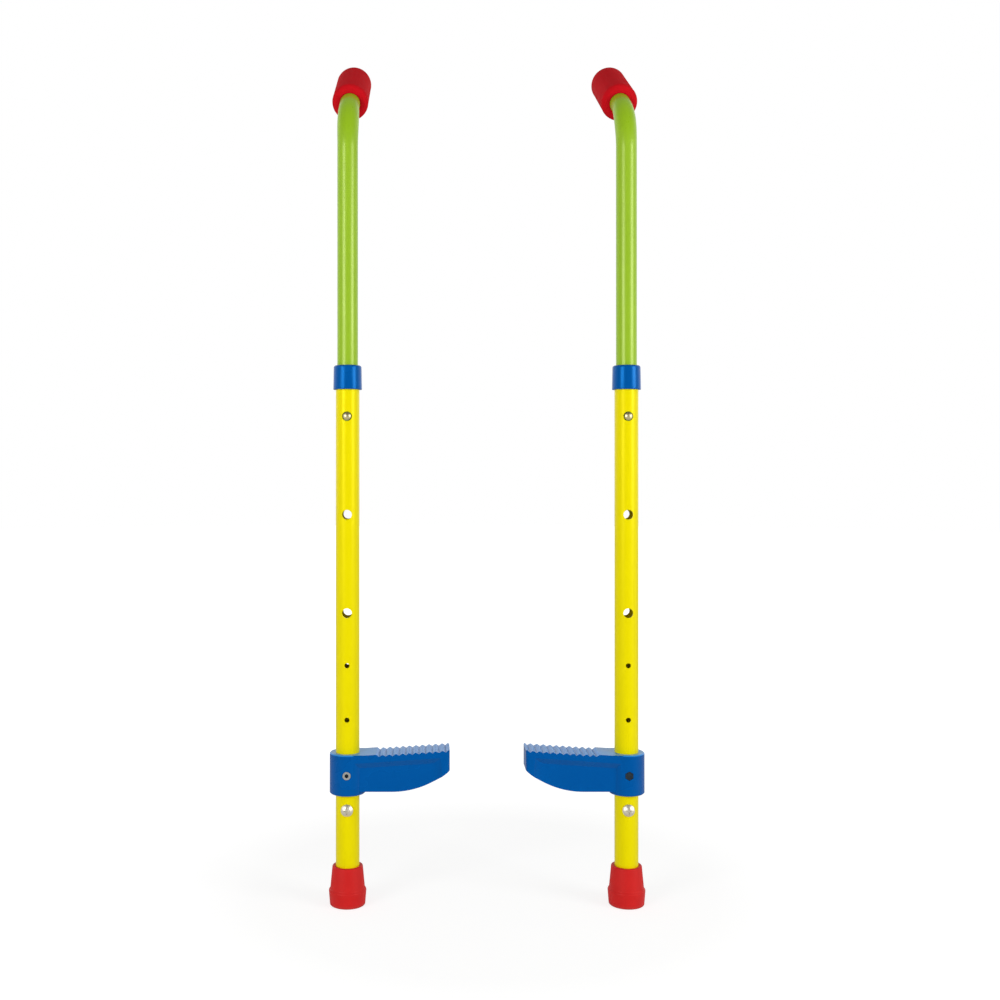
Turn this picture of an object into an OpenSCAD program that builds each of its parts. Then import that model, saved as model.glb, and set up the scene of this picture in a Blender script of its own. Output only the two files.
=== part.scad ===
// Pair of children's stilts: telescoping tubes with bent handles and bolted steps.
// Millimetres. +Z is up, X runs from stilt to stilt, and the handles point along +Y.
// Every stilt is built around its own tube axis, with z = 0 on the floor.

/* [Pair] */
// Distance between the two tube axes
stilt_spacing = 300; // [270:5:420]

/* [Lower tube] */
// Outside diameter of the lower tube
lower_od = 25.4; // [22:0.2:32]
// Wall of the lower tube
lower_wall = 1.2; // [0.8:0.1:2]
// Length of the lower tube
lower_length = 564.5; // [540:0.5:640]
// Distance from the top of the lower tube to the first height hole
height_hole_drop = 50; // [46:1:70]
// Distance between height holes
height_pitch = 105; // [70:1:115]
// Number of height holes
height_count = 3; // [2:1:3]
// Height of the step bolt above the floor
step_bolt_z = 142; // [130:1:150]
// Distance between the holes for the step bolt
step_pitch = 58; // [40:1:65]
// Number of holes for the step bolt
step_count = 3; // [1:1:3]
// Distance from the step bolt down to the stop bolt
stop_drop = 38; // [34:1:60]

/* [Upper tube] */
// Radial gap between the upper tube and the lower one
tube_gap = 0.4; // [0.35:0.05:1]
// Wall of the upper tube
upper_wall = 1; // [0.8:0.1:2]
// Straight length of the upper tube, from its lower end to the bend
upper_straight = 329; // [320:1:400]
// Distance from the lower end of the upper tube to the snap button
button_setback = 40; // [34:1:60]
// Centre-line radius of the bend
bend_r = 63; // [50:1:100]
// How much the tube swells where it is bent
bend_swell = 0.15; // [0.1:0.05:0.4]
// Angle of the handle above the horizontal
handle_rise = 29.5; // [5:0.5:45]
// Bare handle between the bend and the grip
handle_bare = 12; // [2:0.5:30]

/* [Grip] */
// Length of the grip
grip_length = 100; // [80:1:140]
// Foam around the tube at the two ends of the grip
grip_wall = 9; // [6:0.1:12]
// Depth of the waist between the two ends
grip_waist = 0.6; // [0.4:0.1:2]
// Closed end of the grip, beyond the tube
grip_end = 8; // [4:0.5:15]
// Rounding of the near edge
grip_near_edge = 4.5; // [2:0.5:5.5]
// Rounding of the far edge
grip_far_edge = 5.5; // [2:0.5:7.5]

/* [Collar] */
// Length of the skirt outside the lower tube
collar_skirt = 21; // [12:0.5:30]
// Thickness of the cap above the lower tube
collar_cap = 5; // [3:0.5:10]
// Wall of the skirt at its lower edge
collar_wall = 2.6; // [1.8:0.1:5]
// How much the skirt narrows towards the top
collar_taper = 0.5; // [0.2:0.1:1]
// Rounding of the top edge
collar_edge = 2.4; // [0.5:0.1:2.8]

/* [Guide bush] */
// Thickness of the flange under the upper tube
bush_flange = 4; // [2:0.5:8]
// Length of the spigot inside the upper tube
bush_spigot = 16; // [8:1:20]
// Wall of the spigot
bush_wall = 1.6; // [1:0.1:3]
// Height of the bevel around the flange
bush_bevel = 2; // [0.5:0.1:2]

/* [Snap clip] */
// Diameter of the button
button_d = 8.5; // [7:0.1:9]
// How far the button stands out of the lower tube
button_out = 2.6; // [1:0.1:5]
// Height of the button's dome
button_dome = 1.8; // [0.8:0.1:3]
// Width of the spring strip
clip_width = 10; // [9.5:0.1:12]
// Thickness of the spring strip
clip_thickness = 1; // [0.6:0.1:1.4]
// Outside radius of the bend in the strip
clip_bend_r = 4.5; // [4:0.1:5]
// Distance from the button up to that bend
clip_rise = 28; // [24:1:40]
// Length of the front leg below the button
clip_toe = 10; // [6:0.5:12]
// Angle between the two legs
clip_lean = 11; // [10:0.5:14]

/* [Step] */
// Wall of the ring around the tube
ring_wall = 6.4; // [5.6:0.1:10]
// Height of the ring below the step bolt
ring_below = 22; // [16:0.5:26]
// Height of the ring above the step bolt
ring_above = 21.5; // [18:0.5:30]
// Bevel on the ring's edges
ring_bevel = 1; // [0.4:0.1:2]
// Reach of the arm from the tube axis
step_reach = 109.5; // [85:0.5:125]
// Depth of the tread
tread_depth = 35; // [30:0.5:38]
// Angle at which the tread rises towards its tip
tread_rise = 3.8; // [0:0.1:6]
// Depth of the tread's edge above the recessed sides
lip_height = 8; // [5:0.5:12]
// How far the sides are set in below the lip
side_recess = 3.5; // [1:0.1:5]
// Radius with which the recess runs out before the tip
recess_runout = 24; // [12:1:40]
// Solid length left between the recess and the tip
recess_margin = 10; // [6:0.5:20]
// Height of the arm's underside above the ring's lower edge
arm_lift = 4; // [0:0.5:8]
// Distance from the tube axis at which the underside begins to curve
under_start = 48; // [40:1:60]
// Radius of the curved underside
under_r = 93; // [88:1:120]
// Rounding of the tip's corners, seen from above
tip_r = 3.5; // [1:0.5:8]
// Distance from the tube axis to the first groove of the tread
first_groove = 34.4; // [28:0.1:45]
// Distance between teeth
tooth_pitch = 7.1; // [5:0.1:10]
// Depth of the grooves
tooth_height = 2.6; // [1:0.1:3.5]
// Flat on top of a tooth
tooth_flat = 1.2; // [0.4:0.1:2]
// Thickness of the tread below the grooves
tread_plate = 3; // [2:0.1:5]
// Wall around the hollow under the arm
step_wall = 3; // [2:0.1:4]
// Thickness of the ribs in that hollow
rib = 2.2; // [1.5:0.1:4]
// Number of cells along the arm
cell_count = 4; // [2:1:6]

/* [Bolts] */
// Diameter of the step bolt
step_bolt_d = 5; // [4:0.5:6]
// Diameter of its head
step_head_d = 8.5; // [8:0.1:11]
// Height of its head
step_head_h = 3.5; // [2.5:0.1:4]
// Width across the flats of its socket
step_socket = 4; // [3:0.5:5]
// Depth of its socket
step_socket_depth = 2.3; // [1.2:0.1:2.4]
// Width across the flats of its nut
step_nut_flats = 8; // [7.5:0.1:11]
// Thickness of its nut
step_nut_h = 3.8; // [2.5:0.1:4.2]
// Diameter of the stop bolt
stop_bolt_d = 6; // [4:0.5:8]
// Diameter of its pan head
stop_head_d = 13; // [11:0.1:16]
// Height of its pan head
stop_head_h = 4.6; // [3.5:0.1:6]
// Radius of the dome of its pan head
stop_head_r = 9; // [8.5:0.1:14]
// Length of the cross recess
cross_length = 7; // [5:0.1:9]
// Width of the cross recess
cross_width = 1.5; // [0.8:0.1:2.2]
// Depth of the cross recess
cross_depth = 2.4; // [1:0.1:3]
// Width across the flats of its nut
stop_nut_flats = 10; // [9.5:0.5:14]
// Thickness of its nut
stop_nut_h = 5; // [3:0.1:7]
// How far the stop bolt stands out of its nut
stop_bolt_end = 2; // [0.5:0.5:6]

/* [Foot] */
// Rubber under the washer
foot_base = 8; // [5:0.5:15]
// Thickness of the washer
washer_t = 1.5; // [1:0.1:3]
// Hole in the washer
washer_hole = 8; // [4:0.5:12]
// Height of the foot
foot_height = 42; // [34:1:60]
// Height of the shoulder
foot_shoulder = 18; // [14:0.5:24]
// Rise of the sloping top of the shoulder
shoulder_slope = 2; // [1:0.5:5]
// Rubber around the tube at the foot's top edge
foot_wall = 3.5; // [2:0.1:6]
// How much the cone widens down to the shoulder
foot_flare = 2.3; // [1:0.1:4]
// How far the shoulder stands out of the cone
shoulder_step = 1.6; // [0.6:0.1:3]
// Rounding of the foot's top edge
foot_rim = 1.2; // [0.6:0.1:1.6]
// How much the foot narrows from the shoulder down to the sole
sole_taper = 1.2; // [0.4:0.1:2]
// Rounding of the sole's edge
sole_edge = 1.2; // [1:0.1:4]
// Width of the ring grooves in the sole
sole_groove = 2.2; // [1:0.1:3]
// Depth of the ring grooves in the sole
sole_groove_depth = 1.5; // [0.5:0.1:3]
// Number of ring grooves in the sole
sole_groove_count = 2; // [0:1:3]

/* [Fits] */
// Radial gap between parts that slide
slide_gap = 0.3; // [0.2:0.05:0.4]
// Radial gap between parts that are pushed together
push_gap = 0.1; // [0.05:0.05:0.15]
// Radial gap around a bolt in its hole
bolt_gap = 0.2; // [0.1:0.05:0.5]
// Radial gap between a bolt and its nut
thread_gap = 0.05; // [0.02:0.01:0.1]
// Gap around a bolt head or nut in its pocket
pocket_gap = 0.3; // [0.1:0.05:0.5]
// Gap between a flat bolt head or nut and the round tube
seat_gap = 0.05; // [0.02:0.01:0.1]
// Radial gap around the button in the height holes
button_gap = 0.9; // [0.5:0.05:1.2]

/* [Hidden] */

$fn = 72;
// Overrun of a cutting shape, and how far a bolt's shank runs into its head
cut = 1;
// How far the straight ends of the upper tube run into the wall of its bend
bend_lap = 0.5;
// Chords of a rounded edge
edge_steps = 6;

yellow_coat = "#f2e20c";
green_coat = "#96c31e";
blue_plastic = "#0b55a5";
red_foam = "#cb1620";
red_rubber = "#d02626";
bright_steel = "#d3d5d6";
zinc = "#c4c8cb";
natural_plastic = "#e6e4da";

// Diameters that follow from one tube sliding in the other
lower_id = lower_od - 2 * lower_wall;
upper_od = lower_id - 2 * tube_gap;
upper_id = upper_od - 2 * upper_wall;

// Heights along the tube axis
tube_bottom = foot_base + washer_t;
tube_top = tube_bottom + lower_length;
button_z = tube_top - height_hole_drop;
upper_bottom = button_z - button_setback;
bend_z = upper_bottom + upper_straight;
stop_z = step_bolt_z - stop_drop;
height_hole_d = button_d + 2 * button_gap;

// Handle
bend_angle = 90 - handle_rise;
bend_end_y = bend_r * (1 - cos(bend_angle));
handle_length = handle_bare + grip_length - grip_end;
grip_bore_r = upper_od / 2 + push_gap;
grip_r = grip_bore_r + grip_wall;

// Snap clip
clip_face = sqrt(pow(upper_id / 2, 2) - pow(clip_width / 2, 2)) - push_gap;
clip_bend_y = clip_bend_r - clip_face;
clip_back_leg = (clip_face - clip_bend_y - clip_bend_r * cos(clip_lean)) / sin(clip_lean);
clip_bend_steps = 12;
button_tip = lower_od / 2 + button_out;
button_dome_r = (pow(button_d / 2, 2) + pow(button_dome, 2)) / (2 * button_dome);

// Step
ring_bore_r = lower_od / 2 + push_gap;
ring_r = ring_bore_r + ring_wall;
ring_bottom = step_bolt_z - ring_below;
ring_top = step_bolt_z + ring_above;
arm_bottom = ring_bottom + arm_lift;
web_half = tread_depth / 2 - side_recess;
tread_length = (step_reach - ring_r) / cos(tread_rise);
groove_count = floor((step_reach - first_groove - tooth_flat) / tooth_pitch) + 1;
cell_pitch = (tread_length - 2 * step_wall + rib) / cell_count;
head_seat = ring_r - step_head_h - pocket_gap;
nut_seat = ring_r - step_nut_h - pocket_gap;

// Foot
foot_bore_r = lower_od / 2 + push_gap;
foot_top_r = foot_bore_r + foot_wall;
foot_waist_r = foot_top_r + foot_flare;
foot_r = foot_waist_r + shoulder_step;
sole_r = foot_r - sole_taper;

// The pair stands with its middle over the origin, front to back as well as side to side
grip_reach_y = bend_end_y
    + (handle_bare + grip_length - grip_far_edge) * cos(handle_rise)
    + (grip_r - grip_far_edge) * sin(handle_rise)
    + grip_far_edge;
axis_y = (foot_r - grip_reach_y) / 2;

function hex_d(flats) = flats / cos(30);

// Points of an arc about the origin
function arc(r, from, to, steps) = [
    for (i = [0 : steps])
        r * [cos(from + (to - from) * i / steps), sin(from + (to - from) * i / steps)]
];

// Puts a piece of the left stilt in its place
module on_left() {
    translate([-stilt_spacing / 2, axis_y, 0])
        children();
}

// Puts a piece of the right stilt in its place
module on_right() {
    translate([stilt_spacing / 2, axis_y, 0])
        children();
}

// Turns the step and its bolt round, so that the arm points at the left stilt
module turned() {
    rotate([0, 0, 180])
        children();
}

// Cylinder along Y, from y = from to y = to
module along_y(d, from, to) {
    translate([0, from, 0])
        rotate([-90, 0, 0])
            cylinder(d = d, h = to - from);
}

// Hexagonal prism along Y with two corners up and down
module hex_along_y(flats, from, to) {
    translate([0, from, 0])
        rotate([-90, 0, 0])
            rotate([0, 0, 30])
                cylinder(d = hex_d(flats), h = to - from, $fn = 6);
}

// Frame at the centre of the bend, which turns from the upright tube to the handle
module about_bend() {
    translate([0, bend_r, bend_z])
        mirror([0, 1, 0])
            rotate([90, 0, 90])
                children();
}

// Within that frame, the end of the bend, with z along the handle
module along_handle() {
    rotate([0, 0, bend_angle])
        translate([bend_r, 0, 0])
            rotate([-90, 0, 0])
                children();
}

// Frame at the root of the tread, with x along it and z square to it
module along_tread() {
    translate([ring_r, 0, ring_top])
        rotate([0, -tread_rise, 0])
            children();
}

// Cross-section of the upper tube, which may be swollen
module upper_section(swell = 0) {
    difference() {
        circle(d = upper_od + 2 * swell);
        circle(d = upper_id - 2 * swell);
    }
}

module lower_tube() {
    color(yellow_coat)
        difference() {
            translate([0, 0, tube_bottom])
                cylinder(d = lower_od, h = lower_length);
            translate([0, 0, tube_bottom - cut])
                cylinder(d = lower_id, h = lower_length + 2 * cut);
            for (i = [0 : height_count - 1])
                translate([0, 0, button_z - i * height_pitch])
                    along_y(height_hole_d, -lower_od, lower_od);
            for (i = [0 : step_count - 1])
                translate([0, 0, step_bolt_z + i * step_pitch])
                    along_y(step_bolt_d + 2 * bolt_gap, -lower_od, lower_od);
            translate([0, 0, stop_z])
                along_y(stop_bolt_d + 2 * bolt_gap, -lower_od, lower_od);
        }
}

module upper_tube() {
    color(green_coat)
        difference() {
            union() {
                translate([0, 0, upper_bottom])
                    linear_extrude(height = upper_straight + bend_lap)
                        upper_section();
                about_bend() {
                    rotate_extrude(angle = bend_angle)
                        translate([bend_r, 0])
                            upper_section(bend_swell);
                    along_handle()
                        translate([0, 0, -bend_lap])
                            linear_extrude(height = handle_length + bend_lap)
                                upper_section();
                }
            }
            translate([0, 0, button_z])
                along_y(button_d + 2 * slide_gap, -lower_od, 0);
        }
}

// Collar with a skirt around the lower tube and a cap that guides the upper one
module tube_collar() {
    skirt_r = lower_od / 2 + push_gap;
    outer_r = skirt_r + collar_wall;
    top_r = outer_r - collar_taper;
    bore_r = upper_od / 2 + slide_gap;
    color(blue_plastic)
        translate([0, 0, tube_top])
            rotate_extrude()
                polygon([
                    [bore_r, 0],
                    [skirt_r, 0],
                    [skirt_r, -collar_skirt],
                    [outer_r, -collar_skirt],
                    for (p = arc(collar_edge, 0, 90, edge_steps))
                        [top_r - collar_edge, collar_cap - collar_edge] + p,
                    [bore_r, collar_cap]
                ]);
}

module guide_bush() {
    flange_r = lower_id / 2 - slide_gap;
    spigot_r = upper_id / 2 - push_gap;
    color(natural_plastic)
        translate([0, 0, upper_bottom])
            rotate_extrude()
                polygon([
                    [spigot_r - bush_wall, -bush_flange],
                    [flange_r - push_gap, -bush_flange],
                    [flange_r, -bush_flange + bush_bevel],
                    [flange_r, 0],
                    [spigot_r, 0],
                    [spigot_r, bush_spigot],
                    [spigot_r - bush_wall, bush_spigot]
                ]);
}

// Closed grip with rounded ends and a long, shallow waist
module grip() {
    waist_half = grip_length / 2 - grip_far_edge;
    waist_r = (pow(waist_half, 2) + pow(grip_waist, 2)) / (2 * grip_waist);
    color(red_foam)
        about_bend()
            along_handle()
                translate([0, 0, handle_bare])
                    difference() {
                        rotate_extrude()
                            difference() {
                                union() {
                                    square([grip_r - grip_near_edge, grip_length / 2]);
                                    translate([0, grip_near_edge])
                                        square([grip_r, grip_length - grip_near_edge - grip_far_edge]);
                                    square([grip_r - grip_far_edge, grip_length]);
                                    translate([grip_r - grip_near_edge, grip_near_edge])
                                        circle(r = grip_near_edge);
                                    translate([grip_r - grip_far_edge, grip_length - grip_far_edge])
                                        circle(r = grip_far_edge);
                                }
                                translate([grip_r - grip_waist + waist_r, grip_length / 2])
                                    circle(r = waist_r, $fn = 10 * $fn);
                            }
                        translate([0, 0, -cut])
                            cylinder(r = grip_bore_r, h = grip_length - grip_end + cut);
                    }
}

// Side outline of the spring strip: front leg, round bend and leaning back leg
module clip_outline() {
    front_end = -clip_toe - clip_rise;
    inner_r = clip_bend_r - clip_thickness;
    turn = 180 - clip_lean;
    back_end = clip_back_leg * [-sin(turn), cos(turn)];
    out = [cos(turn), sin(turn)];
    polygon([
        [clip_bend_r, front_end],
        each arc(clip_bend_r, 0, turn, clip_bend_steps),
        clip_bend_r * out + back_end,
        inner_r * out + back_end,
        each arc(inner_r, turn, 0, clip_bend_steps),
        [inner_r, front_end]
    ]);
}

// Spring strip bent to a V, with the button drawn out of its front leg
module snap_clip() {
    shank_end = button_tip - button_dome;
    color(bright_steel)
        translate([0, 0, button_z])
            difference() {
                union() {
                    translate([0, clip_bend_y, clip_rise])
                        mirror([0, 1, 0])
                            rotate([90, 0, 90])
                                linear_extrude(height = clip_width, center = true)
                                    clip_outline();
                    along_y(button_d, -shank_end + cut, -clip_face + clip_thickness / 2);
                    intersection() {
                        along_y(button_d, -button_tip, -clip_face);
                        translate([0, button_dome_r - button_tip, 0])
                            sphere(r = button_dome_r);
                    }
                }
                along_y(button_d - 2 * clip_thickness, -shank_end + clip_thickness, 0);
            }
}

// Ring of the step, with bevelled edges
module step_ring() {
    translate([0, 0, ring_bottom])
        rotate_extrude()
            polygon([
                [0, 0],
                [ring_r - ring_bevel, 0],
                [ring_r, ring_bevel],
                [ring_r, ring_top - ring_bottom - ring_bevel],
                [ring_r - ring_bevel, ring_top - ring_bottom],
                [0, ring_top - ring_bottom]
            ]);
}

// Solid arm: side outline, curved underside and rounded tip
module step_arm() {
    tip_top = ring_top + tread_length * sin(tread_rise);
    arm_height = tip_top - arm_bottom;
    intersection() {
        rotate([90, 0, 0])
            linear_extrude(height = tread_depth, center = true)
                polygon([
                    [0, arm_bottom],
                    [step_reach, arm_bottom],
                    [step_reach, tip_top],
                    [ring_r, ring_top],
                    [0, ring_top]
                ]);
        union() {
            translate([-cut, -tread_depth, arm_bottom - cut])
                cube([under_start + cut, 2 * tread_depth, arm_height + 2 * cut]);
            translate([under_start, 0, arm_bottom + under_r])
                along_y(2 * under_r, -tread_depth, tread_depth);
        }
        union() {
            translate([-cut, -tread_depth / 2, arm_bottom - cut])
                cube([step_reach - tip_r + cut, tread_depth, arm_height + 2 * cut]);
            translate([0, tip_r - tread_depth / 2, arm_bottom - cut])
                cube([step_reach, tread_depth - 2 * tip_r, arm_height + 2 * cut]);
            for (side = [-1, 1])
                translate([step_reach - tip_r, side * (tread_depth / 2 - tip_r), arm_bottom - cut])
                    cylinder(r = tip_r, h = arm_height + 2 * cut);
        }
    }
}

// Cut that sets one side of the arm in below the tread's lip and runs out before the tip
module side_cut() {
    depth = ring_top - ring_bottom + ring_r;
    runout = sqrt(pow(recess_runout, 2) - pow(recess_runout - side_recess, 2));
    flat_end = tread_length - recess_margin - runout;
    along_tread()
        translate([0, 0, -lip_height - depth]) {
            translate([-ring_r, web_half, 0])
                cube([ring_r + flat_end, side_recess + cut, depth]);
            translate([flat_end, web_half + recess_runout, 0])
                cylinder(r = recess_runout, h = depth);
        }
}

// Open cells under the tread, two rows between the side walls, cross ribs and a middle rib
module step_cells() {
    depth = ring_top - ring_bottom + ring_r;
    row_width = web_half - step_wall - rib / 2;
    along_tread()
        for (i = [0 : cell_count - 1], side = [0, 1])
            mirror([0, side, 0])
                translate([step_wall + i * cell_pitch, rib / 2, -tooth_height - tread_plate - depth])
                    cube([cell_pitch - rib, row_width, depth]);
}

// V grooves across the tread, which leave the teeth standing
module tread_grooves() {
    half = (tooth_pitch - tooth_flat) / 2;
    along_tread()
        for (i = [0 : groove_count - 1])
            translate([(first_groove - ring_r) / cos(tread_rise) + i * tooth_pitch, 0, 0])
                rotate([90, 0, 0])
                    linear_extrude(height = tread_depth + 2 * cut, center = true)
                        polygon([[-half, cut], [-half, 0], [0, -tooth_height], [half, 0], [half, cut]]);
}

module step() {
    color(blue_plastic)
        difference() {
            union() {
                difference() {
                    step_arm();
                    side_cut();
                    mirror([0, 1, 0])
                        side_cut();
                    step_cells();
                    tread_grooves();
                }
                step_ring();
            }
            translate([0, 0, ring_bottom - cut])
                cylinder(r = ring_bore_r, h = ring_top - ring_bottom + 2 * cut);
            translate([0, 0, step_bolt_z]) {
                along_y(step_bolt_d + 2 * bolt_gap, -ring_r - cut, ring_r + cut);
                along_y(step_head_d + 2 * pocket_gap, -ring_r - cut, -head_seat);
                hex_along_y(step_nut_flats + 2 * pocket_gap, nut_seat, ring_r + cut);
            }
        }
}

module step_bolt() {
    head_top = head_seat + step_head_h;
    color(zinc)
        translate([0, 0, step_bolt_z])
            difference() {
                union() {
                    along_y(step_head_d, -head_top, -head_seat);
                    along_y(step_bolt_d, -head_seat - cut, nut_seat + step_nut_h);
                }
                hex_along_y(step_socket, -head_top - cut, -head_top + step_socket_depth);
            }
}

module step_nut() {
    color(zinc)
        translate([0, 0, step_bolt_z])
            difference() {
                hex_along_y(step_nut_flats, nut_seat, nut_seat + step_nut_h);
                along_y(step_bolt_d + 2 * thread_gap, 0, ring_r + cut);
            }
}

module stop_bolt() {
    head_seat_y = lower_od / 2 + seat_gap;
    head_top = head_seat_y + stop_head_h;
    color(zinc)
        translate([0, 0, stop_z])
            difference() {
                union() {
                    intersection() {
                        along_y(stop_head_d, -head_top, -head_seat_y);
                        translate([0, stop_head_r - head_top, 0])
                            sphere(r = stop_head_r);
                    }
                    along_y(stop_bolt_d, -head_seat_y - cut,
                        head_seat_y + stop_nut_h + stop_bolt_end);
                }
                for (turn = [0, 90])
                    rotate([0, turn, 0])
                        translate([-cross_length / 2, -head_top - cut, -cross_width / 2])
                            cube([cross_length, cross_depth + cut, cross_width]);
            }
}

module stop_nut() {
    seat = lower_od / 2 + seat_gap;
    color(zinc)
        translate([0, 0, stop_z])
            difference() {
                hex_along_y(stop_nut_flats, seat, seat + stop_nut_h);
                along_y(stop_bolt_d + 2 * thread_gap, 0, seat + stop_nut_h + cut);
            }
}

// Rubber foot: cone, shoulder, rounded sole with ring grooves, and the socket for the tube
module ferrule() {
    groove_step = (sole_r - sole_edge) / (sole_groove_count + 1);
    color(red_rubber)
        rotate_extrude()
            difference() {
                polygon([
                    [0, 0],
                    for (p = arc(sole_edge, -90, 0, edge_steps))
                        [sole_r - sole_edge, sole_edge] + p,
                    [foot_r, foot_shoulder - shoulder_slope],
                    [foot_waist_r, foot_shoulder],
                    for (p = arc(foot_rim, 0, 90, edge_steps))
                        [foot_top_r - foot_rim, foot_height - foot_rim] + p,
                    [0, foot_height]
                ]);
                translate([0, foot_base])
                    square([foot_bore_r, foot_height]);
                for (i = [1 : 1 : sole_groove_count])
                    translate([i * groove_step - sole_groove / 2, -cut])
                        square([sole_groove, sole_groove_depth + cut]);
            }
}

module ferrule_washer() {
    color(zinc)
        translate([0, 0, foot_base])
            difference() {
                cylinder(d = lower_od, h = washer_t);
                translate([0, 0, -cut])
                    cylinder(d = washer_hole, h = washer_t + 2 * cut);
            }
}

on_left() lower_tube();  // left_lower_tube
on_left() tube_collar();  // left_tube_collar
on_left() upper_tube();  // left_upper_tube
on_left() guide_bush();  // left_guide_bush
on_left() grip();  // left_grip
on_left() snap_clip();  // left_snap_clip
on_left() step();  // left_step
on_left() step_bolt();  // left_step_bolt
on_left() step_nut();  // left_step_nut
on_left() stop_bolt();  // left_stop_bolt
on_left() stop_nut();  // left_stop_nut
on_left() ferrule();  // left_ferrule
on_left() ferrule_washer();  // left_ferrule_washer
on_right() lower_tube();  // right_lower_tube
on_right() tube_collar();  // right_tube_collar
on_right() upper_tube();  // right_upper_tube
on_right() guide_bush();  // right_guide_bush
on_right() grip();  // right_grip
on_right() snap_clip();  // right_snap_clip
on_right() turned() step();  // right_step
on_right() turned() step_bolt();  // right_step_bolt
on_right() turned() step_nut();  // right_step_nut
on_right() stop_bolt();  // right_stop_bolt
on_right() stop_nut();  // right_stop_nut
on_right() ferrule();  // right_ferrule
on_right() ferrule_washer();  // right_ferrule_washer
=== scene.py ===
from math import atan2, cos, hypot, pi, radians, sin

import bmesh
import bpy
from mathutils import Matrix, Vector


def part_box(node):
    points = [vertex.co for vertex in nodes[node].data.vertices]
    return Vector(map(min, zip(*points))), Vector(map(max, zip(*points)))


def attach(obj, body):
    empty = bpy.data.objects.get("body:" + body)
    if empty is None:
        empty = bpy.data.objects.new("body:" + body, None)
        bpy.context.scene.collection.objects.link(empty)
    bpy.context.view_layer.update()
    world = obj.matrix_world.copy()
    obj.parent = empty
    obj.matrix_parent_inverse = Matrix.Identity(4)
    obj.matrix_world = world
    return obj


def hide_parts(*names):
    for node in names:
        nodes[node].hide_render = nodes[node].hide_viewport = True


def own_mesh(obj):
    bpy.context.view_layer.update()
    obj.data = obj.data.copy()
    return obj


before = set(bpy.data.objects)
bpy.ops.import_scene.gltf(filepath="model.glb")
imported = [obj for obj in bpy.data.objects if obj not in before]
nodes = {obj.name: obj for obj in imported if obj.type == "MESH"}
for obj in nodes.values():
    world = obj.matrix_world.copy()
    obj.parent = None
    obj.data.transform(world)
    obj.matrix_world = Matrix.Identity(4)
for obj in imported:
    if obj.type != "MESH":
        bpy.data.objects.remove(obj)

scene = bpy.context.scene
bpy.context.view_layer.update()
sides = {"left": 1, "right": -1}  # each stilt, and the way its step points along X
mm = 0.001
samePoint = 1e-7  # m, points closer than this are one
sameCadPoint = 1e-6  # m, the same for the loose triangles of a CAD mesh


def tubeAxis(side):  # the point where a stilt's axis meets the floor
    low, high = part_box(side + "_lower_tube")
    return Vector(((low.x + high.x) / 2, (low.y + high.y) / 2, 0))


def linear(hexColour):  # sRGB hex to the linear colour that a socket takes
    parts = [int(hexColour[i:i + 2], 16) / 255 for i in (1, 3, 5)]
    return (*[p / 12.92 if p <= 0.04045 else ((p + 0.055) / 1.055) ** 2.4 for p in parts], 1.0)


def addNode(tree, kind, inputs, **settings):  # one node with its settings, values and links
    node = tree.nodes.new(kind)
    for key, value in settings.items():
        setattr(node, key, value)
    for key, value in inputs.items():
        if isinstance(value, bpy.types.NodeSocket):
            tree.links.new(value, node.inputs[key])
        else:
            node.inputs[key].default_value = value
    return node


# camera at the photo's angle: level, a little left of the middle, 1.3 m in front of the tubes
cameraSettings = {
    "place": (-0.070, -1.350, 0.472),
    "sensor": 36,
    "lens": 43.2,
    "shiftX": 0.078,
    "shiftY": -0.035,
}
cameraData = bpy.data.cameras.new("photoCamera")
cameraData.sensor_width = cameraSettings["sensor"]
cameraData.lens = cameraSettings["lens"]
cameraData.shift_x = cameraSettings["shiftX"]
cameraData.shift_y = cameraSettings["shiftY"]
camera = bpy.data.objects.new("photoCamera", cameraData)
camera.location = cameraSettings["place"]
camera.rotation_euler = (radians(90), 0, 0)  # looks along +Y
scene.collection.objects.link(camera)
scene.camera = camera
scene.view_settings.view_transform = "Standard"
print("camera set")


# studio: two large softboxes in front, white air and a white floor
softboxes = {
    "leftBox": {
        "place": (-1.72, -2.05, 1.0), "aim": (-0.05, -0.06, 0.9), "size": (1.15, 1.2), "radiance": 6.8,
    },
    "rightBox": {
        "place": (2.21, -1.51, 1.0), "aim": (0.05, -0.06, 0.9), "size": (1.3, 1.2), "radiance": 6.8,
    },
}
for name, box in softboxes.items():
    lamp = bpy.data.lights.new(name, "AREA")
    lamp.shape = "RECTANGLE"
    lamp.size, lamp.size_y = box["size"]
    lamp.energy = box["radiance"] * pi * box["size"][0] * box["size"][1]
    lampObject = bpy.data.objects.new(name, lamp)
    lampObject.location = box["place"]
    facing = Vector(box["aim"]) - Vector(box["place"])
    lampObject.rotation_euler = facing.to_track_quat("-Z", "Y").to_euler()
    scene.collection.objects.link(lampObject)

# air: white for the camera; reflections see it behind the object, and a dimmer room elsewhere
airSettings = {
    "light": 0.53,                # what falls on the object
    "seen": 1.0,                  # white
    "room": 0.35,                 # what reflections see in front of the object
    "ceiling": 0.3,               # share of the light that is left overhead
    "roomEnds": (-0.2, 0.3),      # Y of a direction, from the room to the white behind
    "ceilingEnds": (0.42, 0.75),  # Z of a direction, from the walls to the ceiling
}
air = bpy.data.worlds.new("whiteAir")
air.use_nodes = True
scene.world = air
airTree = air.node_tree
airTree.nodes.clear()
airPath = addNode(airTree, "ShaderNodeLightPath", {})
reflected = addNode(airTree, "ShaderNodeMath", {
    0: airPath.outputs["Is Glossy Ray"], 1: airPath.outputs["Is Transmission Ray"],
}, operation="MAXIMUM")
airPlace = addNode(airTree, "ShaderNodeTexCoord", {})
airSide = addNode(airTree, "ShaderNodeSeparateXYZ", {0: airPlace.outputs["Generated"]})
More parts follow.
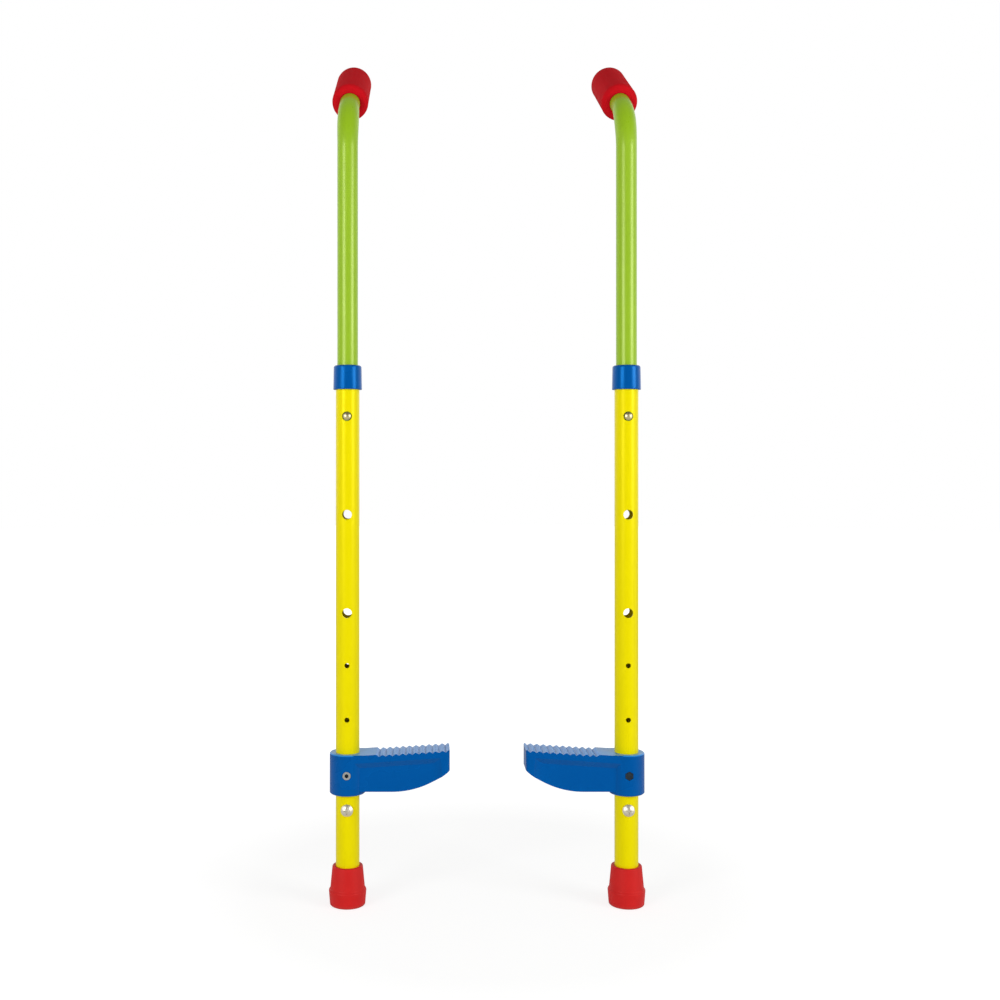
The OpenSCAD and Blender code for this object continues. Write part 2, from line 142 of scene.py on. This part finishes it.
backdrop = addNode(airTree, "ShaderNodeMapRange", {
    "Value": airSide.outputs["Y"],
    "From Min": airSettings["roomEnds"][0], "From Max": airSettings["roomEnds"][1],
    "To Min": airSettings["room"], "To Max": airSettings["seen"],
})
airLevel = addNode(airTree, "ShaderNodeMapRange", {
    "Value": reflected.outputs[0], "To Min": airSettings["light"], "To Max": backdrop.outputs[0],
})
ceiling = addNode(airTree, "ShaderNodeMapRange", {
    "Value": airSide.outputs["Z"],
    "From Min": airSettings["ceilingEnds"][0], "From Max": airSettings["ceilingEnds"][1],
    "To Min": 1.0, "To Max": airSettings["ceiling"],
})
dimmed = addNode(airTree, "ShaderNodeMath", {
    0: airLevel.outputs[0], 1: ceiling.outputs[0],
}, operation="MULTIPLY")
airStrength = addNode(airTree, "ShaderNodeMapRange", {
    "Value": airPath.outputs["Is Camera Ray"],
    "To Min": dimmed.outputs[0], "To Max": airSettings["seen"],
})
airGlow = addNode(airTree, "ShaderNodeBackground", {
    "Color": linear("#ffffff"), "Strength": airStrength.outputs[0],
})
addNode(airTree, "ShaderNodeOutputWorld", {"Surface": airGlow.outputs[0]})

# floor: matt white paper, which shows only the shadow near the feet
floorSettings = {
    "radius": 8.0, "segments": 96,
    "drop": 0.0004,       # m below the soles
    "shadowNear": 0.25,   # m from the middle, where the shadow begins to fade
    "shadowFar": 0.8,     # m from the middle, where it is gone
    "shadowShare": 0.35,  # of the lit paper in what the camera sees
    "litLevel": 0.55,     # what the lamps alone make of the paper
}
floorShape = bmesh.new()
bmesh.ops.create_circle(
    floorShape, cap_ends=True, segments=floorSettings["segments"], radius=floorSettings["radius"])
bmesh.ops.translate(floorShape, verts=floorShape.verts, vec=(0, 0, -floorSettings["drop"]))
floorMesh = bpy.data.meshes.new("paleFloor")
floorShape.to_mesh(floorMesh)
floorShape.free()
floor = bpy.data.objects.new("paleFloor", floorMesh)
scene.collection.objects.link(floor)

floorPaper = bpy.data.materials.new("whitePaperSweep")
floorPaper.use_nodes = True
paperTree = floorPaper.node_tree
paperTree.nodes.clear()
whiteShare = 1 - floorSettings["shadowShare"]
whiteGlow = 1 - floorSettings["shadowShare"] * floorSettings["litLevel"]
paperPlace = addNode(paperTree, "ShaderNodeTexCoord", {})
fromMiddle = addNode(paperTree, "ShaderNodeVectorMath", {
    0: paperPlace.outputs["Object"],
}, operation="LENGTH")
whiteNear = addNode(paperTree, "ShaderNodeMapRange", {
    "Value": fromMiddle.outputs["Value"],
    "From Min": floorSettings["shadowNear"], "From Max": floorSettings["shadowFar"],
    "To Min": whiteShare, "To Max": 1.0,
})
paperPath = addNode(paperTree, "ShaderNodeLightPath", {})
whitePart = addNode(paperTree, "ShaderNodeMath", {
    0: paperPath.outputs["Is Camera Ray"], 1: whiteNear.outputs[0],
}, operation="MULTIPLY")
paperMatt = addNode(paperTree, "ShaderNodeBsdfDiffuse", {"Color": linear("#f4f4f4")})
paperGlow = addNode(paperTree, "ShaderNodeEmission", {
    "Color": linear("#ffffff"), "Strength": whiteGlow / whiteShare,
})
paperMix = addNode(paperTree, "ShaderNodeMixShader", {
    0: whitePart.outputs[0], 1: paperMatt.outputs[0], 2: paperGlow.outputs[0],
})
addNode(paperTree, "ShaderNodeOutputMaterial", {"Surface": paperMix.outputs[0]})
floorMesh.materials.append(floorPaper)
print("studio set")


# finishes: "tones" drift in patches; sizes of patches and patterns are in mm, depths in m
# powder coat, polyester baked on steel tube: an even colour, a soft gloss, a faint orange peel
powderCoat = {
    "patch": 45.0, "patchNoise": {"Detail": 2.0},  # slow drift of the coat's thickness
    "rub": 1.6,  # marks along the tube; real ones are finer and would not show
    "rubNoise": {"Detail": 3.0}, "rubStretch": 0.03, "roughness": (0.27, 0.36),
    "grain": 3.0,  # between the swells of the orange peel
    "grainNoise": {"Detail": 1.0}, "grainDepth": 0.00004, "grainStrength": 0.5,
}
# injection-moulded polypropylene: deep even blue, satin from a spark-eroded mould
mouldedPlastic = {
    "patch": 30.0, "patchNoise": {"Detail": 3.0, "Distortion": 0.6},  # streaks of the melt
    "grain": 0.9,  # the real texture is about 0.1 mm and is drawn coarser to show
    "grainNoise": {"Detail": 2.0}, "grainDepth": 0.00003, "grainStrength": 0.4,
}
# plated or tempered steel: small clouds in the colour and the gloss
metalSkin = {"patch": 3.0, "patchNoise": {"Detail": 3.0}, "shader": {"Metallic": 1.0}}
finishLooks = {
    "yellowPowderCoat": {
        **powderCoat, "tones": ("#f2e100", "#f8e900"),
        "shader": {"IOR": 1.5, "Specular IOR Level": 0.78, "Specular Tint": linear("#ffee40")},
    },
    "greenPowderCoat": {
        **powderCoat, "tones": ("#92bd19", "#9dc61f"),
        "shader": {"IOR": 1.5, "Specular IOR Level": 0.78, "Specular Tint": linear("#fbffc4")},
    },
    "bluePolypropylene": {
        **mouldedPlastic, "tones": ("#00509c", "#0058a6"), "roughness": (0.22, 0.30),
        "shader": {"IOR": 1.49, "Specular IOR Level": 0.9, "Specular Tint": linear("#30a4ff")},
    },
    # painted light: a paler copy of the blue for faces that look up, where light from above falls, with
    # a whiter gleam at a low angle
    "paintedTopLightPolypropylene": {
        **mouldedPlastic, "tones": ("#1f8ce2", "#2a98f0"), "roughness": (0.26, 0.34),
        "shader": {"IOR": 1.49, "Specular IOR Level": 0.9, "Specular Tint": linear("#d0e8ff")},
    },
    # closed-cell foam: matt red with fine pores, a soft edge to the light and uneven dye
    "redClosedCellFoam": {
        "tones": ("#c0121c", "#d5111d"), "patch": 14.0, "patchNoise": {"Detail": 4.0, "Roughness": 0.6},
        "pore": 1.3,  # the real cells are about 0.3 mm and are drawn coarser to show
        "poreDepth": 0.0002, "poreStrength": 0.5,
        "shader": {
            "Roughness": 0.82, "IOR": 1.4, "Specular IOR Level": 0.25,
            "Specular Tint": linear("#ff7a7a"), "Sheen Weight": 0.04, "Sheen Roughness": 0.45,
            "Sheen Tint": linear("#ff5050"),
        },
    },
    # moulded rubber: dense red, a dull satin, with a chalky bloom and a scuffed, dusty sole edge
    "redMouldedRubber": {
        "tones": ("#cd1f20", "#dc2624"), "patch": 18.0, "patchNoise": {"Detail": 4.0},
        "roughness": (0.42, 0.60),
        "grain": 0.8,  # the mould's matt skin is finer and is drawn coarser to show
        "grainNoise": {"Detail": 2.0}, "grainDepth": 0.00004, "grainStrength": 0.4,
        "dust": "#a0584e", "dustShare": 0.8, "dustTop": 0.004,  # m above the floor, where it ends
        "shader": {"IOR": 1.52, "Specular IOR Level": 0.4, "Specular Tint": linear("#ff9a94")},
    },
    # zinc plate: silver with a faint blue and yellow passivation
    "zincPlatedSteel": {**metalSkin, "tones": ("#c8cdd4", "#cfcabb"), "roughness": (0.22, 0.38)},
    # bright zinc plate: paler and warmer
    "brightZincPlatedSteel": {**metalSkin, "tones": ("#f6f3ea", "#f4ecd2"), "roughness": (0.38, 0.52)},
    # spring steel: bright, with a warm straw tint that is painted reflection of the yellow tube round
    # the button
    "springSteelPaintedReflection": {**metalSkin, "tones": ("#e0d8b4", "#dacb88"), "roughness": (0.32, 0.42)},
    # painted shade: dark, dull steel put where little light gets in, in the step bolt's socket and on
    # the step nut in its pocket
    "paintedShadeSteel": {
        **metalSkin, "tones": ("#2b343c", "#4a5660"), "patch": 2.0,
        "shader": {"Metallic": 1.0, "Roughness": 0.55},
    },
    # natural polyamide: milky off-white and satin
    "naturalPolyamide": {
        "tones": ("#dcd8c9", "#ebe9df"), "patch": 8.0, "patchNoise": {"Detail": 2.0},
        "shader": {"Roughness": 0.42, "IOR": 1.53},
    },
}
noiseEnds = (0.3, 0.7)  # nearly all of a noise lies between these
mixShare, mixFirst, mixSecond, mixResult = 0, 6, 7, 2  # a Mix node's sockets for colours


def makeFinish(name, look):  # constants go on the shader itself, patterns follow the object
    finish = bpy.data.materials.new(name)
    finish.use_nodes = True
    tree = finish.node_tree
    tree.nodes.clear()
    place = addNode(tree, "ShaderNodeTexCoord", {}).outputs["Object"]
    sockets = dict(look["shader"])
    patch = addNode(tree, "ShaderNodeTexNoise", {
        "Vector": place, "Scale": 1000 / look["patch"], **look["patchNoise"],
    })
    tone = addNode(tree, "ShaderNodeMix", {
        mixShare: patch.outputs[0],
        mixFirst: linear(look["tones"][0]), mixSecond: linear(look["tones"][1]),
    }, data_type="RGBA")
    sockets["Base Color"] = tone.outputs[mixResult]
    wear = patch
    if "rub" in look:  # marks drawn out along the tube
        along = addNode(tree, "ShaderNodeMapping", {
            "Vector": place, "Scale": (1, 1, look["rubStretch"]),
        })
        wear = addNode(tree, "ShaderNodeTexNoise", {
            "Vector": along.outputs[0], "Scale": 1000 / look["rub"], **look["rubNoise"],
        })
    if "roughness" in look:
        gloss = addNode(tree, "ShaderNodeMapRange", {
            "Value": wear.outputs[0], "From Min": noiseEnds[0], "From Max": noiseEnds[1],
            "To Min": look["roughness"][0], "To Max": look["roughness"][1],
        })
        sockets["Roughness"] = gloss.outputs[0]
    if "dust" in look:  # scuffed and dusty just above the floor
        height = addNode(tree, "ShaderNodeSeparateXYZ", {0: place})
        nearFloor = addNode(tree, "ShaderNodeMapRange", {
            "Value": height.outputs["Z"], "From Min": 0.0, "From Max": look["dustTop"],
            "To Min": look["dustShare"], "To Max": 0.0,
        })
        scuff = addNode(tree, "ShaderNodeMath", {
            0: nearFloor.outputs[0], 1: patch.outputs[0],
        }, operation="MULTIPLY")
        worn = addNode(tree, "ShaderNodeMix", {
            mixShare: scuff.outputs[0],
            mixFirst: tone.outputs[mixResult], mixSecond: linear(look["dust"]),
        }, data_type="RGBA")
        sockets["Base Color"] = worn.outputs[mixResult]
    if "grain" in look:
        grain = addNode(tree, "ShaderNodeTexNoise", {
            "Vector": place, "Scale": 1000 / look["grain"], **look["grainNoise"],
        })
        relief = addNode(tree, "ShaderNodeBump", {
            "Height": grain.outputs[0],
            "Strength": look["grainStrength"], "Distance": look["grainDepth"],
        })
        sockets["Normal"] = relief.outputs[0]
    if "pore" in look:
        pore = addNode(tree, "ShaderNodeTexVoronoi", {
            "Vector": place, "Scale": 1000 / look["pore"],
        }, feature="SMOOTH_F1")
        pits = addNode(tree, "ShaderNodeBump", {
            "Height": pore.outputs["Distance"],
            "Strength": look["poreStrength"], "Distance": look["poreDepth"],
        }, invert=True)
        sockets["Normal"] = pits.outputs[0]
    shader = addNode(tree, "ShaderNodeBsdfPrincipled", sockets)
    addNode(tree, "ShaderNodeOutputMaterial", {"Surface": shader.outputs[0]})
    return finish


finishes = {name: makeFinish(name, look) for name, look in finishLooks.items()}
print("finishes made:", len(finishes))


# solids that keep their CAD shape take a finish only
nodeFinishes = {
    "lower_tube": "yellowPowderCoat",
    "guide_bush": "naturalPolyamide",
    "ferrule_washer": "zincPlatedSteel",
}
for side in sides:
    for part, finishName in nodeFinishes.items():
        mesh = nodes[side + "_" + part].data
        for index in range(len(mesh.materials)):
            mesh.materials[index] = finishes[finishName]
print("tubes finished")


edgeSettings = {
    "creased": 32,  # degrees, sharper edges stay sharp to the eye
    "broken": 25,   # degrees, sharper edges of a CAD shape are broken
    "flat": 0.5,    # degrees, flatter edges of a CAD shape are left out
    "segments": 2,  # of a broken edge
}
spinSettings = {"steps": 96, "roundSegments": 6}


def addPiece(side, name, shape, finish, body, part):  # a bmesh becomes a piece on a body
    mesh = bpy.data.meshes.new(side + name)
    shape.to_mesh(mesh)
    shape.free()
    mesh.materials.clear()
    mesh.materials.append(finishes[finish])
    mesh.polygons.foreach_set("material_index", [0] * len(mesh.polygons))
    mesh.polygons.foreach_set("use_smooth", [True] * len(mesh.polygons))
    mesh.set_sharp_from_angle(angle=radians(edgeSettings["creased"]))
    piece = bpy.data.objects.new(side + name, mesh)
    scene.collection.objects.link(piece)
    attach(piece, side + "_" + body)
    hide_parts(side + "_" + part)
    return piece


def spunShape(corners):  # (radius, height, rounding) in mm, in order round a closed section
    shape = bmesh.new()
    points = [shape.verts.new((radius * mm, 0, height * mm)) for radius, height, rounding in corners]
    shape.faces.new(points)
    for size in sorted({rounding for radius, height, rounding in corners if rounding}):
        rounded = [p for p, corner in zip(points, corners) if corner[2] == size]
        bmesh.ops.bevel(
            shape, geom=rounded, offset=size * mm, affect="VERTICES",
            segments=spinSettings["roundSegments"], profile=0.5, material=-1)
    bmesh.ops.delete(shape, geom=list(shape.faces), context="FACES_ONLY")
    onAxis = [e for e in shape.edges if all(v.co.x < samePoint for v in e.verts)]
    bmesh.ops.delete(shape, geom=onAxis, context="EDGES")
    bmesh.ops.spin(
        shape, geom=shape.verts[:] + shape.edges[:], cent=(0, 0, 0), axis=(0, 0, 1),
        dvec=(0, 0, 0), angle=2 * pi, steps=spinSettings["steps"], use_merge=True)
    bmesh.ops.remove_doubles(shape, verts=shape.verts, dist=samePoint)
    bmesh.ops.recalc_face_normals(shape, faces=shape.faces)
    return shape


def cutAway(shape, cutter):  # the first shape less the second
    pair = []
    for part in (shape, cutter):
        mesh = bpy.data.meshes.new("cutShape")
        part.to_mesh(mesh)
        part.free()
        pair.append(bpy.data.objects.new("cutShape", mesh))
        scene.collection.objects.link(pair[-1])
    cut = pair[0].modifiers.new("cut", "BOOLEAN")
    cut.operation = "DIFFERENCE"
    cut.object = pair[1]
    result = bmesh.new()
    result.from_object(pair[0], bpy.context.evaluated_depsgraph_get())
    for item in pair:
        bpy.data.meshes.remove(item.data)  # its object goes with it
    return result


# upper tube: thin steel tube bent back at the top, where bending has left it wider than deep
tubeSettings = {  # mm and degrees
    "radius": 11.1, "wall": 1.0, "bottom": 484.0, "bendStart": 813.0, "bendRadius": 63.0,
    "rise": 29.5, "handle": 104.0, "hole": 9.1, "holeHeight": 524.0,
    "wider": 0.6,      # on each side, halfway round the bend
    "depthLoss": 0.6,  # share of that widening taken off the depth
    "segments": 72, "bendSteps": 30, "holeSegments": 48,
}
bendTurn = radians(90 - tubeSettings["rise"])
bendCentre = Vector((0, tubeSettings["bendRadius"], tubeSettings["bendStart"])) * mm
alongHandle = Vector((0, sin(bendTurn), cos(bendTurn)))
for side in sides:
    shape = bmesh.new()
    bmesh.ops.create_circle(
        shape, segments=tubeSettings["segments"], radius=tubeSettings["radius"] * mm,
        matrix=Matrix.Translation((0, 0, tubeSettings["bottom"] * mm)))
    upright = bmesh.ops.extrude_edge_only(shape, edges=shape.edges)["geom"]
    straight = (tubeSettings["bendStart"] - tubeSettings["bottom"]) * mm
    rim = [g for g in upright if isinstance(g, bmesh.types.BMVert)]
    bmesh.ops.translate(shape, verts=rim, vec=(0, 0, straight))
    edges = [g for g in upright if isinstance(g, bmesh.types.BMEdge)]
    rimEdges = [e for e in edges if all(v in rim for v in e.verts)]
    bent = bmesh.ops.spin(
        shape, geom=rim + rimEdges, cent=bendCentre, axis=(-1, 0, 0), dvec=(0, 0, 0),
        angle=bendTurn, steps=tubeSettings["bendSteps"])
    lastEdges = [g for g in bent["geom_last"] if isinstance(g, bmesh.types.BMEdge)]
    back = bmesh.ops.extrude_edge_only(shape, edges=lastEdges)["geom"]
    bmesh.ops.translate(
        shape, verts=[g for g in back if isinstance(g, bmesh.types.BMVert)],
        vec=alongHandle * tubeSettings["handle"] * mm)
    bmesh.ops.remove_doubles(shape, verts=shape.verts, dist=samePoint)
    for point in shape.verts:  # the bend's oval section, which fades out at both ends of it
        inward, above = bendCentre.y - point.co.y, point.co.z - bendCentre.z
        turn = atan2(above, inward)
        if 0 < turn < bendTurn:
            share = sin(pi * turn / bendTurn) ** 2 * tubeSettings["wider"] / tubeSettings["radius"]
            fromLine = 1 - bendCentre.y / hypot(inward, above)
            flatter = 1 - tubeSettings["depthLoss"] * share * fromLine
            point.co.x *= 1 + share
            point.co.y = bendCentre.y - inward * flatter
            point.co.z = bendCentre.z + above * flatter
    bmesh.ops.recalc_face_normals(shape, faces=shape.faces)
    bmesh.ops.solidify(shape, geom=shape.faces[:], thickness=tubeSettings["wall"] * mm)
    bmesh.ops.recalc_face_normals(shape, faces=shape.faces)
    drill = bmesh.new()
    front = Matrix.Translation((0, -tubeSettings["radius"] * mm, tubeSettings["holeHeight"] * mm))
    bmesh.ops.create_cone(
        drill, cap_ends=True, segments=tubeSettings["holeSegments"],
        radius1=tubeSettings["hole"] * mm / 2, radius2=tubeSettings["hole"] * mm / 2,
        depth=tubeSettings["radius"] * mm, matrix=front @ Matrix.Rotation(radians(90), 4, "X"))
    shape = cutAway(shape, drill)
    bmesh.ops.translate(shape, verts=shape.verts, vec=tubeAxis(side))
    addPiece(side, "BentTube", shape, "greenPowderCoat", "upper", "upper_tube")
print("upper tubes made")


# grip: foam sleeve with rounded ends, a slight waist and a closed far end
gripSettings = {
    "bare": 12.0,  # mm of handle between the bend and the grip
    "section": [
        (11.2, 0.0, 0.6), (11.2, 92.0, 1.0), (0, 92.0, 0), (0, 100.0, 0), (20.2, 100.0, 5.5),
        (19.6, 50.0, 36.0), (20.2, 0.0, 6.5),
    ],
    "fill": 1.0,
}
gripStart = bendCentre + Vector((0, -cos(bendTurn), sin(bendTurn))) * bendCentre.y
for side in sides:
    shape = spunShape(gripSettings["section"])
    bmesh.ops.translate(shape, verts=shape.verts, vec=(0, 0, gripSettings["bare"] * mm))
    lean = Matrix.Rotation(-bendTurn, 4, "X")
    seat = Matrix.Translation(tubeAxis(side) + gripStart)
    bmesh.ops.transform(shape, verts=shape.verts, matrix=seat @ lean)
    grip = addPiece(side, "FoamGrip", shape, "redClosedCellFoam", "upper", "grip")
print("grips made")


# collar: moulded cap on the lower tube, whose bore guides the upper tube
collarSettings = {
    "top": 574.0,  # mm, end of the lower tube
    "section": [
        (11.4, 0.0, 0), (12.8, 0.0, 0), (12.8, -21.0, 0.4), (15.4, -21.0, 0.6),
        (14.9, 5.0, 2.4), (11.4, 5.0, 0.5),
    ],
}
for side in sides:
    shape = spunShape(collarSettings["section"])
    seat = tubeAxis(side) + Vector((0, 0, collarSettings["top"] * mm))
    bmesh.ops.translate(shape, verts=shape.verts, vec=seat)
    addPiece(side, "TubeCollar", shape, "bluePolypropylene", "lower", "tube_collar")
print("collars made")


# foot: rubber ferrule with a cone, a shoulder, a tapered sole and ring grooves
ferruleSettings = {
    "section": [
        (0, 8.0, 0), (12.8, 8.0, 0), (12.8, 42.0, 0.8), (16.3, 42.0, 1.2), (18.6, 18.0, 0.8),
        (20.2, 16.0, 0.9), (18.9, 0.0, 1.3), (12.97, 0.0, 0), (12.97, 1.5, 0), (10.77, 1.5, 0),
        (10.77, 0.0, 0), (7.03, 0.0, 0), (7.03, 1.5, 0), (4.83, 1.5, 0), (4.83, 0.0, 0), (0, 0.0, 0),
    ],
}
for side in sides:
    shape = spunShape(ferruleSettings["section"])
    bmesh.ops.translate(shape, verts=shape.verts, vec=tubeAxis(side))
    addPiece(side, "RubberFoot", shape, "redMouldedRubber", "lower", "ferrule")
print("feet made")


def cadCopy(node):  # a CAD mesh with its triangles joined at their corners
    shape = bmesh.new()
    shape.from_mesh(nodes[node].data)
    bmesh.ops.remove_doubles(shape, verts=shape.verts, dist=sameCadPoint)
    return shape


def joinFlats(shape):  # triangles that lie in one plane become one face
    bmesh.ops.dissolve_limit(
        shape, angle_limit=radians(edgeSettings["flat"]), verts=shape.verts, edges=shape.edges,
        use_dissolve_boundaries=False)


def breakEdges(shape, width):  # rounds sharp edges, by no more than the shortest has room for
    limit = radians(edgeSettings["broken"])
    sharp = [e for e in shape.edges if e.is_manifold and e.calc_face_angle() > limit]
    bmesh.ops.bevel(
        shape, geom=sharp, offset=width * mm, offset_type="OFFSET", affect="EDGES",
        segments=edgeSettings["segments"], profile=0.5, material=-1, clamp_overlap=True)


def evenNormals(piece):  # large flat faces stay flat beside their rounded edges
    weighted = piece.modifiers.new("evenNormals", "WEIGHTED_NORMAL")
    weighted.keep_sharp = True


# step: the CAD shape with sides that slope in below the lip, and worn tips of the teeth; faces that
# look up get a paler blue as painted light from above
stepSettings = {  # mm and degrees
    "ringRadius": 19.2, "ringTop": 163.5, "rise": 3.8, "half": 17.5,
    "lip": 8.0, "recess": 3.5, "slope": 6.0,
    "teethFrom": 12.8, "wear": 0.7,
    "edge": 0.4,         # at most; its short edges leave 0.006 of it, so it looks sharp
    "topLightDepth": 10.0,  # below the tread's root, as far down as the painted top light reaches
    "topLightFacing": 0.3,  # least upward part of the normal of a face with painted top light
    "near": 0.05,        # a point this close to the tread or to the lip's lower edge is on it
}
rise = radians(stepSettings["rise"])
for side, inward in sides.items():
    axis = tubeAxis(side)
    across = Vector((-inward * sin(rise), 0, cos(rise)))
    along = Vector((inward * cos(rise), 0, sin(rise)))
    root = axis + Vector((inward * stepSettings["ringRadius"], 0, stepSettings["ringTop"])) * mm
    shape = cadCopy(side + "_step")
    joinFlats(shape)
    for point in shape.verts:
        below = -(point.co - root).dot(across) / mm
        inset = stepSettings["half"] - abs(point.co.y - axis.y) / mm
        underLip = abs(below - stepSettings["lip"]) < stepSettings["near"]
        if underLip and 0 < inset < stepSettings["recess"] + stepSettings["near"]:
            point.co -= across * stepSettings["slope"] * mm * inset / stepSettings["recess"]
        onTread = abs(below) < stepSettings["near"]
        if onTread and (point.co - root).dot(along) / mm > stepSettings["teethFrom"]:
            point.co -= across * stepSettings["wear"] * mm
    breakEdges(shape, stepSettings["edge"])
    step = addPiece(side, "MouldedStep", shape, "bluePolypropylene", "lower", "step")
    evenNormals(step)
    # painted light: upward faces near the tread take the paler blue, where light from above falls
    step.data.materials.append(finishes["paintedTopLightPolypropylene"])
    topLightFrom = root.z - stepSettings["topLightDepth"] * mm
    for face in step.data.polygons:
        upward = face.normal.z > stepSettings["topLightFacing"]
        face.material_index = int(upward and face.center.z > topLightFrom)
print("steps made")


# bolts and nuts: the CAD shapes with their edges broken; the step nut and the step bolt's socket are
# painted dark as shade
boltSettings = {
    "edge": 0.2,  # mm at most, as on the nuts; 0.06 is left on the stop bolt, 0.005 on the step bolt
    "pieces": {
        "step_bolt": {"name": "StepBolt", "finish": "zincPlatedSteel"},
        "step_nut": {"name": "StepNut", "finish": "paintedShadeSteel"},
        # the step nut takes the dark steel as painted shade of its pocket
        "stop_bolt": {"name": "StopBolt", "finish": "brightZincPlatedSteel"},
        "stop_nut": {"name": "StopNut", "finish": "brightZincPlatedSteel"},
    },
    "socket": {"step_bolt": 2.6},  # mm from the bolt's axis, inside which the socket's steel is painted dark as shade
}
for side in sides:
    axis = tubeAxis(side)
    for part, look in boltSettings["pieces"].items():
        shape = cadCopy(side + "_" + part)
        joinFlats(shape)
        breakEdges(shape, boltSettings["edge"])
        bolt = addPiece(side, look["name"], shape, look["finish"], "lower", part)
        evenNormals(bolt)
        if part in boltSettings["socket"]:
            low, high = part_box(side + "_" + part)
            middle = (low.z + high.z) / 2
            reach = [hypot(v.co.x - axis.x, v.co.z - middle) for v in bolt.data.vertices]
            # painted shade: the faces inside the socket take the dark steel
            bolt.data.materials.append(finishes["paintedShadeSteel"])
            for face in bolt.data.polygons:
                farthest = max(reach[v] for v in face.vertices)
                face.material_index = int(farthest < boltSettings["socket"][part] * mm)
print("bolts and nuts made")


# snap clip: the button moves with the press, and the spring strip behind it is squeezed
clipSettings = {  # mm
    "travel": 4.0,
    "split": 0.1,  # in front of the strip, where the button is parted from it
}
for side in sides:
    axis = tubeAxis(side)
    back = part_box(side + "_snap_clip")[1].y - axis.y  # the front leg is as far in front of the axis
    cutPlane = axis + Vector((0, -back - clipSettings["split"] * mm, 0))
    halves = {}
    for half in ("button", "strip"):
        shape = cadCopy(side + "_snap_clip")
        cut = bmesh.ops.bisect_plane(
            shape, geom=shape.verts[:] + shape.edges[:] + shape.faces[:], dist=samePoint,
            plane_co=cutPlane, plane_no=(0, 1, 0),
            clear_outer=half == "button", clear_inner=half == "strip")
        rims = [g for g in cut["geom_cut"] if isinstance(g, bmesh.types.BMEdge)]
        bmesh.ops.bridge_loops(shape, edges=rims)
        bmesh.ops.recalc_face_normals(shape, faces=shape.faces)
        halves[half] = shape
    # the button's warm tint is painted reflection of the yellow tube round it
    addPiece(
        side, "SnapButton", halves["button"], "springSteelPaintedReflection", "clip", "snap_clip")
    strip = addPiece(
        side, "SpringStrip", halves["strip"], "springSteelPaintedReflection", "upper", "snap_clip")
    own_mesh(strip)
print("snap clips made")
